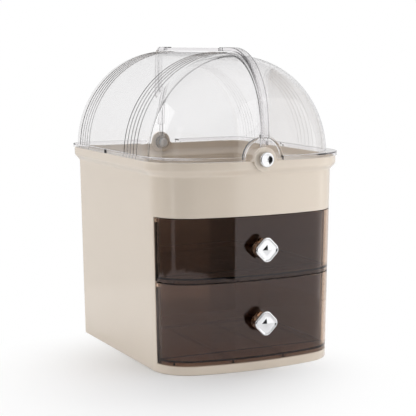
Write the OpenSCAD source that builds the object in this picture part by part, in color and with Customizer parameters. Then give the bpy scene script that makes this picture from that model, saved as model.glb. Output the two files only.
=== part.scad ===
// Makeup organizer: a moulded box with two pull-out drawers, an open tray on top,
// and a clear dome of two nested lids that swing on the same pins as the carrying handle.
// Millimetres. X runs to the right, Y to the back and Z up. The origin is on the table,
// under the middle of the body.

/* [Body] */
// Width of the body where it stands
body_w = 220; // [190:1:260]
// Depth of the body where it stands, at the middle of its bowed front
body_d = 274; // [240:1:330]
// Height from the table to the top of the rim
rim_top = 240; // [210:1:290]
// Thickness of the moulded body walls
wall = 2.6; // [2:0.1:3.2]
// Radius of the rounded front corners
front_r = 45; // [36:1:56]
// Radius of the two back corners
back_r = 5; // [4:0.5:10]
// Radius of the bowed front
bow_r = 364; // [300:1:600]
// Outward lean of the walls, in millimetres for each millimetre of height
draft = 0.0184; // [0.005:0.0005:0.025]
// Height of the closed strip under the lower drawer
base_h = 10; // [8:0.5:16]

/* [Rim and tray] */
// Height of the rim's upright face
rim_h = 9.5; // [8:0.5:14]
// Width that the rim stands out past the body
rim_out = 6; // [5:0.5:9]
// Depth of the closed band above the drawers, from the rim's top
band_h = 62; // [50:1:80]
// Thickness of the drawers, the tray and the shelf
sheet = 2; // [1.6:0.1:2.6]

/* [Drawers] */
// Height of the lower drawer's front
lower_front_h = 92.7; // [70:0.1:105]
// Depth of a drawer from its front to its back
drawer_d = 199; // [150:1:220]
// Thickness of a drawer's curved front
front_t = 2.5; // [2:0.1:3.5]
// Gap between a drawer and what it slides in
drawer_gap = 0.8; // [0.5:0.1:1.5]
// Distance between the runners under a drawer
runner_pitch = 64; // [50:1:66]

/* [Knobs] */
// Length of a knob's plate across its corners
knob_span = 28; // [22:0.5:34]
// Height that a knob stands out from the drawer
knob_h = 16.5; // [12:0.5:22]

/* [Dome] */
// Outer radius of the outer lid about the pivot pins
dome_r = 117.3; // [100:0.1:135]
// Radius that rounds the dome's nose
nose_r = 73; // [60:1:85]
// Radius that rounds the dome's back edge
heel_r = 9; // [6:0.5:14]
// Thickness of both lids
lid_t = 1.8; // [1.4:0.1:2.4]
// Gap between the two nested lids
lid_gap = 1.1; // [0.9:0.1:1.6]
// Height of the lids' flange above the rim
flange_h = 4.8; // [4:0.1:7]
// Height of each hoop rib
rib_h = 0.6; // [0.4:0.1:0.7]
// Number of hoop ribs in each group
rib_count = 5; // [2:1:6]

/* [Handle and pivots] */
// Width of the handle's arms
arm_w = 9.2; // [7:0.2:12]
// Thickness of the handle's arms
arm_t = 4.4; // [3.6:0.1:6]
// Radius of the round ears on the rim
ear_r = 13.7; // [12:0.1:14.5]
// Radius of the pivot pins
pin_r = 2.5; // [2:0.1:3]

/* [Hidden] */
$fn = 96;

// Colours
beige = [0.87, 0.83, 0.77];
smoke = [0.27, 0.2, 0.17, 0.7];
clear = [0.9, 0.92, 0.94, 0.35];
metal = [0.86, 0.86, 0.88];

// Small clearances: parts that only touch, and a pin in a hole that turns on it
seat = 0.3;
run_fit = 0.08;
cut = 1;
far = 400;

// Plan of the body
half_w = body_w / 2;
half_d = body_d / 2;
front_reach = 10;
// Whole thousandths, so that a corner's cone and the flat beside it meet without a step
function exact(x) = round(1000 * x) / 1000;
function lean(z) = exact(draft * z);
function corner_of(half, front, r) =
  bow_r - front - sqrt(pow(bow_r - r, 2) - pow(half - r, 2));
corner_y = corner_of(half_w, half_d, front_r);
side_edge_y = corner_y - front_reach;

// Levels of the body
rim_low = rim_top - rim_h;
cove_low = rim_low - rim_out - 2;
cove_steps = 5;
rim_g = lean(rim_top) + rim_out;
bay_top = rim_top - band_h;
floor_t = 2.4;
ledge_t = 2.4;
ledge_w = 6;
tray_low = bay_top + ledge_t + seat;
tray_high = cove_low - 2;

// Drawers
face_gap = 0.7;
stack_gap = 1.3;
lower_z = base_h + drawer_gap;
upper_z = lower_z + lower_front_h + stack_gap;
upper_front_h = bay_top - face_gap - upper_z;
skirt_h = 3.6;
box_drop = 5.5;
shelf_t = 2.2;
runner_t = 1.8;
// The opening's edges stand a little way round the front corners, which narrows it
corner_in = front_r - wall;
edge_bulge = exact(corner_in - sqrt(pow(corner_in, 2) - pow(front_reach, 2)));
box_in = wall + edge_bulge + drawer_gap;
drawer_back = drawer_d - half_d;
drawer_back_r = 7;
gate_r = 12;
gate_t = 0.5;

// Knobs
knob_round = 4.5;
plate_t = 3.6;
plate_edge = 2.4;
plate_dish = 1.1;
gem_span = 17;
gem_h = 2.4;
stem_span = 24;
stem_round = 3.5;
knob_seat = 0.5;
knob_screw_r = 2;
knob_head_r = 4;
knob_head_h = 2.4;

// Dome, measured from the pivot pins
pivot_z = rim_top + 1.8;
dome_front = half_d + rim_g - 1;
nested = lid_t + lid_gap;
flange_low = rim_top + seat;
flange_out = 1.6;
flange_end = 24;
cup_r = 22.5;
seam_lap = 2;
ridge_deg = 1.3;
ridge_h = 0.8;
ridge_from = 32;
front_ribs_y = -42;
back_ribs_y = 106;
front_rib_pitch = 9.2;
back_rib_pitch = 7.6;
nose_line_y = -88;
lug_r = 9;
thumb_r = 16;
thumb_y = 22;

// Pivot stacks, as distances along Y from the body's middle, at the front and the back
ear_t = 5;
eye_t = 3;
lug_t = lid_t;
front_ear_out = half_d + rim_g + 2;
front_eye = front_ear_out - ear_t - seat;
front_left_lug = front_eye - eye_t - seat;
front_right_lug = front_left_lug - lug_t - seat;
front_washer = front_right_lug - lug_t - seat;
back_ear_proud = 0.484;
back_ear_out = half_d + rim_g + back_ear_proud;
back_eye = back_ear_out - ear_t - seat;
dome_back = back_eye - eye_t - seat - 0.1;
back_right_lug = dome_back - nested;
back_washer = back_right_lug - lug_t - seat;
washer_t = 1;
washer_r = 6;
head_t = 2.3;
head_r = 5;
cap_r = 8.5;
cap_t = 5.5;
cap_dish = 1;
cap_dimple_r = 2.4;
ear_fillet = 4;

// Handle, as offsets from the outer lid's surface
arm_gap = 1.5;
arm_out = arm_gap + arm_t;
arm_end = 23.5;
neck_w = 5.2;
neck_low = 16;
neck_high = 20.5;
eye_r = 8;
grip_front = 42;
grip_back = 112;
grip_drop = 1;
tongue_l = 13;
tongue_w = 5;
tongue_low = 0.9;
tongue_t = 1.6;
joint_pin_r = 1;
fit = 0.1;

// ---------- Shapes that several pieces share ----------

// Part of a cone that stands upright: radius r at its foot grows by g0, at its top by g1
module upright(x, y, r, z0, z1, g0, g1) {
  translate([x, y, z0])
    cylinder(h = z1 - z0, r1 = r + g0, r2 = r + g1);
}

// Solid with the body's plan between two levels, grown by g0 at the foot and g1 at the top
module bowed_block(z0, z1, g0, g1, back = half_d, rb = back_r) {
  cx = half_w - front_r;
  bow_y = bow_r - half_d;
  reach = (bow_r + 2 * front_r) / (bow_r - front_r);
  wedge_y = bow_y + (corner_y - bow_y) * reach;
  intersection() {
    upright(0, bow_y, bow_r, z0, z1, g0, g1, $fn = 360);
    translate([0, 0, z0])
      linear_extrude(z1 - z0)
        polygon([[-cx, corner_y], [cx, corner_y], [cx * reach, wedge_y], [-cx * reach, wedge_y]]);
  }
  for (s = [-1, 1]) {
    upright(s * cx, corner_y, front_r, z0, z1, g0, g1);
    upright(s * (half_w - rb), back - rb, rb, z0, z1, g0, g1);
  }
  translate([0, back - rb, 0])
    rotate([90, 0, 0])
      linear_extrude(back - rb - corner_y)
        polygon([[-half_w - g0, z0], [half_w + g0, z0], [half_w + g1, z1], [-half_w - g1, z1]]);
  translate([rb - half_w, 0, 0])
    rotate([90, 0, 90])
      linear_extrude(2 * (half_w - rb))
        polygon([[corner_y, z0], [back + g0, z0], [back + g1, z1], [corner_y, z1]]);
}

// The same solid with the walls' own lean, grown evenly by g
module leaning_block(z0, z1, g, back = half_d, rb = back_r) {
  bowed_block(z0, z1, g + lean(z0), g + lean(z1), back, rb);
}

// Everything in front of (side = -1) or behind (side = 1) the plane at y
module beyond(y, side, z0, z1) {
  translate([-far / 2, side > 0 ? y : y - far, z0])
    cube([far, far, z1 - z0]);
}

// The dome's outline in the (radius, distance to the front) plane, grown by g
module dome_outline(g) {
  cx = dome_r - nose_r;
  nose_s = -corner_of(dome_r, dome_front, nose_r);
  bow_s = dome_front - bow_r;
  reach = (bow_r + 2 * nose_r) / (bow_r - nose_r);
  wedge_s = bow_s + (nose_s - bow_s) * reach;
  intersection() {
    union() {
      intersection() {
        translate([0, bow_s])
          circle(bow_r + g, $fn = 360);
        polygon([[0, nose_s], [cx, nose_s], [cx * reach, wedge_s], [0, wedge_s]]);
      }
      translate([cx, nose_s])
        circle(nose_r + g);
      translate([0, heel_r - dome_back])
        square([dome_r + g, nose_s + dome_back - heel_r]);
      translate([0, -dome_back - g])
        square([dome_r - heel_r, dome_back + nose_s + g]);
      translate([dome_r - heel_r, heel_r - dome_back])
        circle(heel_r + g);
    }
    translate([0, -far])
      square([far, 2 * far]);
  }
}

// Turns the (radius, front) plane about the pivot axis, from one angle to another:
// 0 is to the right, 90 straight up, 180 to the left
module swing(from, to) {
  translate([0, 0, pivot_z])
    rotate([90, 0, 0])
      rotate_extrude(angle = to - from, start = from, $fn = 180)
        children();
}

// Stands the (radius, front) plane upright over the pivot axis, w thick across X
module upright_plate(w) {
  translate([0, 0, pivot_z])
    rotate([0, 0, 180])
      rotate([0, -90, 0])
        linear_extrude(w, center = true)
          children();
}

// Round bar on the pivot axis, from one distance to another towards the front
module on_axis(from, to, r) {
  translate([0, -from, pivot_z])
    rotate([90, 0, 0])
      cylinder(h = to - from, r = r);
}

// Square with rounded corners that stands on one corner, span across its corners
module diamond(span, r) {
  side = (span + 2 * r * (sqrt(2) - 1)) / sqrt(2);
  rotate(45) {
    square([side, side - 2 * r], center = true);
    square([side - 2 * r, side], center = true);
    for (x = [-1, 1], y = [-1, 1])
      translate([x * (side / 2 - r), y * (side / 2 - r)])
        circle(r, $fn = 32);
  }
}

// ---------- Body ----------

module ear(face, side) {
  on_front = side < 0;
  from = on_front ? face - ear_t : -face;
  on_axis(from, from + ear_t, ear_r);
  // Concave fillets where the ear rises from the rim
  fillet_x = sqrt(pow(ear_r + ear_fillet, 2) - pow(rim_top + ear_fillet - pivot_z, 2));
  translate([0, on_front ? -face : face - ear_t, 0])
    rotate([90, 0, 0])
      translate([0, 0, -ear_t])
        linear_extrude(ear_t)
          difference() {
            translate([-fillet_x, rim_top])
              square([2 * fillet_x, pivot_z - rim_top]);
            for (s = [-1, 1])
              translate([s * fillet_x, rim_top + ear_fillet])
                circle(ear_fillet, $fn = 48);
          }
}

// The cove that flares out under the rim: its levels, and how far it stands out there
function cove_z(k) = cove_low + (rim_low - cove_low) * k / cove_steps;
function cove_g(k) =
  let (t = k / cove_steps)
    exact(lean(cove_low) + (rim_g - lean(cove_low)) * t * t * (3 - 2 * t));

module cove(g) {
  for (k = [0:cove_steps - 1])
    bowed_block(cove_z(k), cove_z(k + 1), g + cove_g(k), g + cove_g(k + 1));
}

module housing_wall(g) {
  leaning_block(base_h - floor_t, cove_low, g);
  cove(g);
  bowed_block(rim_low, rim_top, g + rim_g, g + rim_g);
}

// Ledge inside the walls, with its top at z
module ledge(z) {
  difference() {
    leaning_block(z - ledge_t, z, -wall / 2);
    leaning_block(z - ledge_t - cut, z + cut, -wall - ledge_w, back = half_d, rb = wall + ledge_w + 1);
  }
}

module housing() {
  color(beige)
    difference() {
      union() {
        difference() {
          union() {
            leaning_block(0, base_h - floor_t, 0);
            housing_wall(0);
          }
          leaning_block(base_h, cove_low, -wall);
          cove(-wall);
          bowed_block(rim_low, rim_top + cut, rim_g - wall, rim_g - wall);
          leaning_block(-cut, base_h - floor_t, -wall);
        }
        ledge(bay_top + ledge_t);
        ledge(upper_z - seat - shelf_t - seat);
        // Stiffening ribs under the floor
        intersection() {
          leaning_block(0, base_h - floor_t / 2, -wall / 2);
          union() {
            for (i = [-1, 0, 1]) {
              translate([i * runner_pitch - runner_t / 2, -far / 2, 0])
                cube([runner_t, far, base_h]);
              translate([-far / 2, i * body_d / 4 - runner_t / 2, 0])
                cube([far, runner_t, base_h]);
            }
          }
        }
        ear(front_ear_out, -1);
        ear(back_ear_out, 1);
      }
      // The drawers' opening wraps round both front corners
      beyond(side_edge_y, -1, base_h, bay_top);
      on_axis(front_ear_out - ear_t - cut, front_ear_out + cut, pin_r + run_fit / 2);
      on_axis(-back_ear_out - cut, -back_ear_out + ear_t + cut, pin_r + run_fit / 2);
    }
}

module top_tray() {
  tray_in = wall + 0.5;
  color(beige)
    difference() {
      leaning_block(tray_low, tray_high, -tray_in);
      leaning_block(tray_low + sheet, tray_high + cut, -tray_in - sheet);
    }
}

module middle_shelf() {
  z1 = upper_z - seat;
  color(beige)
    intersection() {
      leaning_block(z1 - shelf_t, z1, -wall - seat);
      union() {
        beyond(side_edge_y, 1, z1 - 2 * shelf_t, z1 + cut);
        leaning_block(z1 - 2 * shelf_t, z1 + cut, -front_t - 1);
      }
    }
}

// ---------- Drawers ----------

// Space inside a drawer between two levels: behind the curved front, where the children
// widen it, and inside the box
module drawer_hollow(z0, z1) {
  intersection() {
    leaning_block(z0, z1, -front_t);
    union() {
      beyond(side_edge_y - face_gap - front_t, -1, z0 - cut, z1 + cut);
      children();
    }
  }
  leaning_block(z0, z1, -box_in - sheet, drawer_back, drawer_back_r);
}

module drawer(z0, front_h) {
  z1 = z0 + front_h;
  box_z1 = z1 - box_drop;
  floor_z = z0 + skirt_h;
  knob_z = z0 + front_h / 2;
  front_y = half_d + lean(knob_z);
  color(smoke)
    difference() {
      union() {
        intersection() {
          leaning_block(z0, z1, 0);
          beyond(side_edge_y - face_gap, -1, z0 - cut, z1 + cut);
        }
        leaning_block(z0, box_z1, -box_in, drawer_back, drawer_back_r);
      }
      // Over the box's sides only the front itself stands
      drawer_hollow(floor_z + sheet, z1 + cut)
        beyond(0, -1, box_z1, z1 + 2 * cut);
      difference() {
        drawer_hollow(z0 - cut, floor_z);
        // Runners under the floor, and the ring round the gate
        for (i = [-1.5:1:1.5])
          translate([i * runner_pitch - runner_t / 2, -far / 2, z0])
            cube([runner_t, far, skirt_h + cut]);
        translate([0, drawer_back - drawer_d / 2, floor_z - gate_t])
          difference() {
            cylinder(h = gate_t + cut, r = gate_r);
            translate([0, 0, -cut])
              cylinder(h = gate_t + 3 * cut, r = gate_r - runner_t);
          }
      }
      translate([0, cut - front_y, knob_z])
        rotate([90, 0, 0])
          translate([0, 0, -front_t - 2 * cut])
            cylinder(h = front_t + 4 * cut, r = knob_screw_r + 0.1);
    }
}

module upper_drawer() { drawer(upper_z, upper_front_h); }
module lower_drawer() { drawer(lower_z, lower_front_h); }

// Puts the children, drawn up +Z from the drawer's face, on the front of a drawer
module on_drawer(z0, front_h) {
  knob_z = z0 + front_h / 2;
  translate([0, -half_d - lean(knob_z), knob_z])
    rotate([90, 0, 0])
      children();
}

module knob_stem() {
  stem_top = knob_h - plate_t;
  color(smoke)
    difference() {
      translate([0, 0, knob_seat])
        linear_extrude(stem_top - knob_seat)
          diamond(stem_span, stem_round);
      cylinder(h = stem_top - 3, r = knob_screw_r + fit / 2);
    }
}

module knob_plate() {
  color(metal)
    translate([0, 0, knob_h - plate_t]) {
      difference() {
        linear_extrude(plate_t)
          diamond(knob_span, knob_round);
        translate([0, 0, plate_t - plate_dish])
          linear_extrude(plate_t)
            diamond(knob_span - 2 * plate_edge, knob_round - 1);
      }
      translate([0, 0, plate_t - plate_dish])
        cylinder(h = gem_h, r1 = gem_span / 2, r2 = 0, $fn = 4);
    }
}

module knob_screw() {
  head = -front_t - knob_head_h - seat;
  color(metal)
    difference() {
      union() {
        translate([0, 0, head])
          cylinder(h = knob_head_h, r = knob_head_r);
        translate([0, 0, head])
          cylinder(h = knob_h - plate_t - 4 - head, r = knob_screw_r);
      }
      // Cross recess
      for (a = [0, 90])
        rotate(a)
          translate([-0.5, -2, head - cut])
            cube([1, 4, cut + 1.2]);
    }
}

module upper_knob_stem() { on_drawer(upper_z, upper_front_h) knob_stem(); }
module lower_knob_stem() { on_drawer(lower_z, lower_front_h) knob_stem(); }
module upper_knob_plate() { on_drawer(upper_z, upper_front_h) knob_plate(); }
module lower_knob_plate() { on_drawer(lower_z, lower_front_h) knob_plate(); }
module upper_knob_screw() { on_drawer(upper_z, upper_front_h) knob_screw(); }
module lower_knob_screw() { on_drawer(lower_z, lower_front_h) knob_screw(); }

// ---------- Lids ----------

// Section of a lid's wall in the (radius, front) plane. At the front it steps back
// round the pivot into a cup of radius r, whose floor is the lug that ends at lug_s
module lid_section(g, r, lug_s) {
  difference() {
    dome_outline(g);
    dome_outline(g - lid_t);
    translate([-cut, 0])
      square([r + cut, far]);
  }
  intersection() {
    translate([r, lug_s - lug_t])
      square([lid_t, far]);
    dome_outline(g);
  }
  translate([0, lug_s - lug_t])
    square([r + lid_t, lug_t]);
}

module hoop_ribs(g) {
  intersection() {
    union() {
      for (i = [0:rib_count - 1]) {
        k = i - (rib_count - 1) / 2;
        translate([dome_r + g, -front_ribs_y - k * front_rib_pitch])
          circle(rib_h);
        translate([dome_r + g, -back_ribs_y - k * back_rib_pitch])
          circle(rib_h);
      }
      // Raised line where the barrel runs into the nose
      intersection() {
        dome_outline(g + rib_h);
        translate([half_w / 2, -nose_line_y])
          square([far, 1.6]);
      }
    }
    difference() {
      dome_outline(g + rib_h);
      dome_outline(g - lid_t / 2);
    }
  }
}

// Plan of the rim, grown by g, as a flat shape
module rim_plan(z0, z1, g) {
  bowed_block(z0, z1, rim_g + g, rim_g + g);
}

// Upright solid with the plan that the dome has at the pivots' level
module dome_foot(z0, z1, g) {
  for (m = [0, 1])
    mirror([m, 0, 0])
      translate([0, 0, z0])
        linear_extrude(z1 - z0)
          mirror([0, 1])
            dome_outline(g);
}

// Flange that rests on the rim: a plate with a lip turned down at its outer edge
module flange(side, g) {
  top = rim_top + flange_h;
  lip = 1.8;
  intersection() {
    difference() {
      union() {
        difference() {
          rim_plan(flange_low, top, flange_out);
          rim_plan(flange_low - cut, top - lid_t, flange_out - lip);
        }
        dome_foot(flange_low, pivot_z, g);
      }
      dome_foot(flange_low - cut, top + cut, g - lid_t);
      // Thumb notch
      translate([side * (half_w + rim_g + flange_out + thumb_r - 2.5), thumb_y, flange_low - cut])
        cylinder(h = flange_h + 2 * cut, r = thumb_r);
    }
    translate([side > 0 ? flange_end : -far - flange_end, -far / 2, flange_low - cut])
      cube([far, far, flange_h + 2 * cut]);
  }
}

module lid_bores() {
  on_axis(-half_d - far / 4, half_d + far / 4, pin_r + run_fit);
}

module left_lid() {
  color(clear)
    difference() {
      union() {
        swing(90, 180) {
          lid_section(0, cup_r, front_left_lug);
          hoop_ribs(0);
        }
        // Raised edge along the seam
        swing(90, 90 + ridge_deg)
          difference() {
            dome_outline(ridge_h);
            dome_outline(-lid_t / 2);
            translate([-cut, -far / 2])
              square([ridge_from + cut, far]);
          }
        flange(-1, 0);
        on_axis(front_left_lug - lug_t, front_left_lug, lug_r);
        on_axis(-dome_back, lug_t - dome_back, lug_r);
      }
      lid_bores();
    }
}

module right_lid() {
  color(clear)
    difference() {
      union() {
        swing(0, 90 + seam_lap) {
          lid_section(-nested, cup_r + lid_t + 0.5, front_right_lug);
          hoop_ribs(-nested);
        }
        flange(1, -nested);
        on_axis(front_right_lug - lug_t, front_right_lug, lug_r);
        on_axis(-back_right_lug, lug_t - back_right_lug, lug_r);
      }
      lid_bores();
    }
}

// ---------- Handle ----------

// Section of the handle along the dome, from one distance to another towards the front
module handle_section(from, to, outer) {
  intersection() {
    difference() {
      dome_outline(outer);
      dome_outline(arm_gap);
    }
    translate([arm_end, from])
      square([far, to - from]);
  }
}

// Slot or tongue of the joint that starts at s and runs towards dir
module tongue(s, dir, grow) {
  low = dome_r + arm_gap + tongue_low - grow;
  upright_plate(tongue_w + 2 * grow)
    translate([low, dir > 0 ? s - cut : s - tongue_l - grow])
      square([tongue_t + 2 * grow, tongue_l + cut + grow]);
}

module joint_pin(s, r) {
  translate([0, -s, pivot_z + dome_r + arm_gap])
    cylinder(h = arm_t - 0.4, r = r);
}

module handle_front_arm() {
  color(clear)
    difference() {
      union() {
        upright_plate(arm_w)
          handle_section(grip_front, far, arm_out);
        // Neck that steps in over the ear, and the eye behind the ear
        upright_plate(neck_w) {
          translate([neck_low, front_eye - eye_t])
            square([neck_high - neck_low, dome_front + arm_out - 0.5 - front_eye + eye_t]);
          translate([neck_low, dome_front + arm_gap])
            square([arm_end - neck_low + 2, arm_t - 0.5]);
          translate([0, front_eye - eye_t])
            square([neck_high, eye_t]);
        }
        on_axis(front_eye - eye_t, front_eye, eye_r);
      }
      on_axis(front_eye - eye_t - cut, front_eye + cut, pin_r + run_fit);
      tongue(grip_front, 1, fit);
      joint_pin(grip_front + tongue_l / 2, joint_pin_r + fit / 2);
    }
}

module handle_back_arm() {
  color(clear)
    difference() {
      union() {
        upright_plate(arm_w)
          handle_section(-far, -grip_back, arm_out);
        upright_plate(neck_w)
          translate([0, -back_eye])
            square([arm_end + 4, eye_t]);
        on_axis(-back_eye, eye_t - back_eye, eye_r);
      }
      on_axis(-back_eye - cut, eye_t - back_eye + cut, pin_r + run_fit);
      tongue(-grip_back, -1, fit);
      joint_pin(-grip_back - tongue_l / 2, joint_pin_r + fit / 2);
    }
}

module handle_grip() {
  color(clear)
    difference() {
      union() {
        upright_plate(arm_w)
          handle_section(fit - grip_back, grip_front - fit, arm_out - grip_drop);
        tongue(grip_front, 1, 0);
        tongue(-grip_back, -1, 0);
      }
      joint_pin(grip_front + tongue_l / 2, joint_pin_r + fit / 2);
      joint_pin(-grip_back - tongue_l / 2, joint_pin_r + fit / 2);
    }
}

module handle_pins() {
  color(metal) {
    joint_pin(grip_front + tongue_l / 2, joint_pin_r);
    joint_pin(-grip_back - tongue_l / 2, joint_pin_r);
  }
}

// ---------- Pivots ----------

// Headed pin; distances run outwards from the middle of the body
module pivot_pin(head_from, tip) {
  rotate([-90, 0, 0]) {
    translate([0, 0, head_from])
      cylinder(h = head_t, r = head_r);
    translate([0, 0, head_from])
      cylinder(h = tip - head_from, r = pin_r);
  }
}

// Domed cap with a dished face, pushed on the pin's end
module pivot_cap(from) {
  rotate([-90, 0, 0])
    translate([0, 0, from])
      rotate_extrude()
        difference() {
          polygon([[0, 0], [cap_r - 0.6, 0], [cap_r, 0.6], [cap_r, cap_t - 1.2],
                   [cap_r - 1.2, cap_t], [cap_dimple_r + 0.5, cap_t - cap_dish],
                   [cap_dimple_r, cap_t - 2 * cap_dish], [0, cap_t - 2 * cap_dish]]);
          translate([-cut, -cut])
            square([pin_r + fit / 2 + cut, cap_t - 3 * cap_dish + cut]);
        }
}

module washers(from) {
  rotate([-90, 0, 0])
    translate([0, 0, from - washer_t])
      difference() {
        cylinder(h = washer_t, r = washer_r);
        translate([0, 0, -cut])
          cylinder(h = washer_t + 2 * cut, r = pin_r + fit);
      }
}

module at_pivot(front) {
  translate([0, 0, pivot_z])
    rotate([0, 0, front ? 180 : 0])
      children();
}

front_head = front_washer - washer_t - head_t - 0.1;
back_head = back_washer - washer_t - head_t - 0.1;

module front_pivot_pin() {
  color(metal) at_pivot(true) pivot_pin(front_head, front_ear_out + seat + cap_t - 3.2);
}
module back_pivot_pin() {
  color(metal) at_pivot(false) pivot_pin(back_head, back_ear_out + seat + cap_t - 3.2);
}
module front_cap() { color(metal) at_pivot(true) pivot_cap(front_ear_out + seat); }
module back_cap() { color(metal) at_pivot(false) pivot_cap(back_ear_out + seat); }
module front_washers() { color(metal) at_pivot(true) washers(front_washer); }
module back_washers() { color(metal) at_pivot(false) washers(back_washer); }

housing();
top_tray();
middle_shelf();
upper_drawer();
lower_drawer();
upper_knob_stem();
lower_knob_stem();
upper_knob_plate();
lower_knob_plate();
upper_knob_screw();
lower_knob_screw();
left_lid();
right_lid();
handle_front_arm();
handle_back_arm();
handle_grip();
handle_pins();
front_pivot_pin();
back_pivot_pin();
front_cap();
back_cap();
front_washers();
back_washers();
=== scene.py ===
"""Makeup organizer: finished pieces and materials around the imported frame."""

import math

import bmesh
import bpy
from bpy.props import FloatProperty, FloatVectorProperty, IntProperty, PointerProperty
from bpy.types import Operator, Panel, PropertyGroup
from mathutils import Matrix, Vector


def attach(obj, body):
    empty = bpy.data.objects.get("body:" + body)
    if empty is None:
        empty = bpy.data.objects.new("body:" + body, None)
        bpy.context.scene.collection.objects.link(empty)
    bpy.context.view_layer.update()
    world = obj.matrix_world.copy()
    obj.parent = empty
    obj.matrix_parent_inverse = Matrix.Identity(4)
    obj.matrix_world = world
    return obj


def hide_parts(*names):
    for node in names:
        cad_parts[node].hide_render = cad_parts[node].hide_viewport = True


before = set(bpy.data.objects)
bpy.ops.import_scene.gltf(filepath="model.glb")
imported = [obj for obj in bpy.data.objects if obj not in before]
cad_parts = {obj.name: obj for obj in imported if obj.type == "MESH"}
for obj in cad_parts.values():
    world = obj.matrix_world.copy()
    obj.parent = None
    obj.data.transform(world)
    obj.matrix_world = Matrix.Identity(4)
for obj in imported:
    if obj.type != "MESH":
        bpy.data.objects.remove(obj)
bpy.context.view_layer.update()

bl_info = {
    "name": "Makeup Organizer",
    "version": (1, 0, 0),
    "blender": (4, 5, 0),
    "location": "3D View > Sidebar > Organizer",
    "description": "Builds a makeup organizer with two drawers, nested dome lids and a handle",
    "category": "Add Mesh",
}

MM = 0.001

# Plan of the body: half width, half depth, and the radii of its corners and bowed front
HALF_W = 110 * MM
HALF_D = 137 * MM
FRONT_R = 45 * MM
BACK_R = 5 * MM
BOW_R = 364 * MM
DRAFT = 0.0184

# Levels of the body
BASE_H = 10 * MM
FLOOR_T = 2.4 * MM
WALL = 2.6 * MM
BAY_TOP = 178 * MM
COVE_LOW = 222.5 * MM
RIM_LOW = 230.5 * MM
RIM_TOP = 240 * MM
RIM_OUT = 6 * MM
RIM_ROUND = 1.2 * MM
RIM_FOOT = 1.6 * MM
RIM_IN_ROUND = 0.5 * MM
COVE_STEPS = 8
RIM_G = DRAFT * RIM_TOP + RIM_OUT
LEDGE_W = 6 * MM
LEDGE_T = 2.4 * MM
LEDGE_BACK_R = 9.6 * MM
EAR_EDGE = 0.7 * MM
BODY_EDGE = 0.4 * MM

# Drawers
SHEET = 2 * MM
FRONT_T = 2.5 * MM
FACE_GAP = 0.7 * MM
BOX_IN = 4.596 * MM
DRAWER_BACK = 62 * MM
DRAWER_BACK_R = 7 * MM
DRAWERS = {"lower": (10.8 * MM, 103.5 * MM), "upper": (104.8 * MM, 177.3 * MM)}
BOX_DROP = 5.5 * MM
SKIRT_H = 3.6 * MM
RUNNER_PITCH = 64 * MM
RUNNER_T = 1.8 * MM
RUNNER_FRONT = (3 * MM, 21.5 * MM)
DRAWER_DEPTH = 199 * MM
GATE_R = 12 * MM
GATE_T = 0.5 * MM
SHELF_Z = 102 * MM

# Knobs
KNOB_H = 16.5 * MM
PLATE_T = 3.6 * MM
PLATE_SPAN = 28 * MM
STEM_SPAN = 24 * MM
STEM_R = 6.5 * MM
STEM_EDGE = 0.6 * MM
PLATE_R = 7.5 * MM
PLATE_EDGE = 1.2 * MM
PLATE_CREST = 0.7 * MM
PLATE_SLOPE = 0.9 * MM
DISH = 1.1 * MM
GEM_R = 7.6 * MM
GEM_H = 2.4 * MM

# Dome, in distance from the pivot axis and distance towards the front
PIVOT_Z = 241.8 * MM
DOME_R = 117.3 * MM
DOME_FRONT = HALF_D + RIM_G - 1 * MM
DOME_BACK = 139.2 * MM
NOSE_R = 73 * MM
HEEL_R = 9 * MM
LID_T = 1.8 * MM
NESTED = 2.9 * MM
PIN_R = 2.58 * MM
LUG_R = 9 * MM
CUP_R = 22.5 * MM
LEFT_LUG = 140.78 * MM
RIGHT_LUG = 138.68 * MM
RIGHT_BACK = DOME_BACK - NESTED
RIDGE_DEG = 1.3
LAP_DEG = 2
FLANGE_LOW = 240.3 * MM
FLANGE_TOP = 244.8 * MM
FLANGE_OUT = 1.6 * MM
FLANGE_END = 24 * MM
THUMB_R = 16 * MM
THUMB_Y = 22 * MM
THUMB_IN = 1.2 * MM
# End of the pivots' recess, both edges of the nose line, and each rib group's middle and pitch
RECESS_END = 26 * MM
NOSE_LINE = (89.6 * MM, 88 * MM)
RIB_GROUPS = ((42 * MM, 9.2 * MM), (-106 * MM, 7.6 * MM))

# Handle and pivots
ARM_W = 9.2 * MM
ARM_GAP = 1.5 * MM
ARM_T = 4.4 * MM
ARM_END = 23.5 * MM
GRIP_FRONT = 42 * MM
GRIP_BACK = 112 * MM
GRIP_DROP = 1 * MM
GRIP_FIT = 0.1 * MM
EAR_R = 13.7 * MM
EAR_T = 5 * MM
FRONT_EAR = HALF_D + RIM_G + 2 * MM
BACK_EAR = 147.9 * MM
EYE_T = 3 * MM
EYE_R = 8 * MM
FRONT_EYE = FRONT_EAR - EAR_T - 0.3 * MM
BACK_EYE = 142.6 * MM
NECK_W = 5.2 * MM
NECK_LOW = 16 * MM
NECK_TOP = 20.5 * MM
NECK_END = 25.5 * MM
CAP_R = 8.5 * MM
CAP_T = 5.5 * MM
SEAT = 0.3 * MM

# Beyond every side of the organizer, the angle from which edges stay sharp, and how close
# points are to count as level and to be merged
FAR = 0.4
SHARP_DEG = 30
NEAR = 0.01 * MM
MERGED = 0.002 * MM

BOW_Y = BOW_R - HALF_D
BOW_TILT = math.asin((HALF_W - FRONT_R) / (BOW_R - FRONT_R))
CORNER_Y = BOW_Y - (BOW_R - FRONT_R) * math.cos(BOW_TILT)
EDGE_Y = CORNER_Y - 10 * MM
DRAWER_EDGE = EDGE_Y - FACE_GAP
NOSE_TILT = math.asin((DOME_R - NOSE_R) / (BOW_R - NOSE_R))
NOSE_S = DOME_FRONT - BOW_R + (BOW_R - NOSE_R) * math.cos(NOSE_TILT)


# ---------- What the user can change ----------


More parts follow.
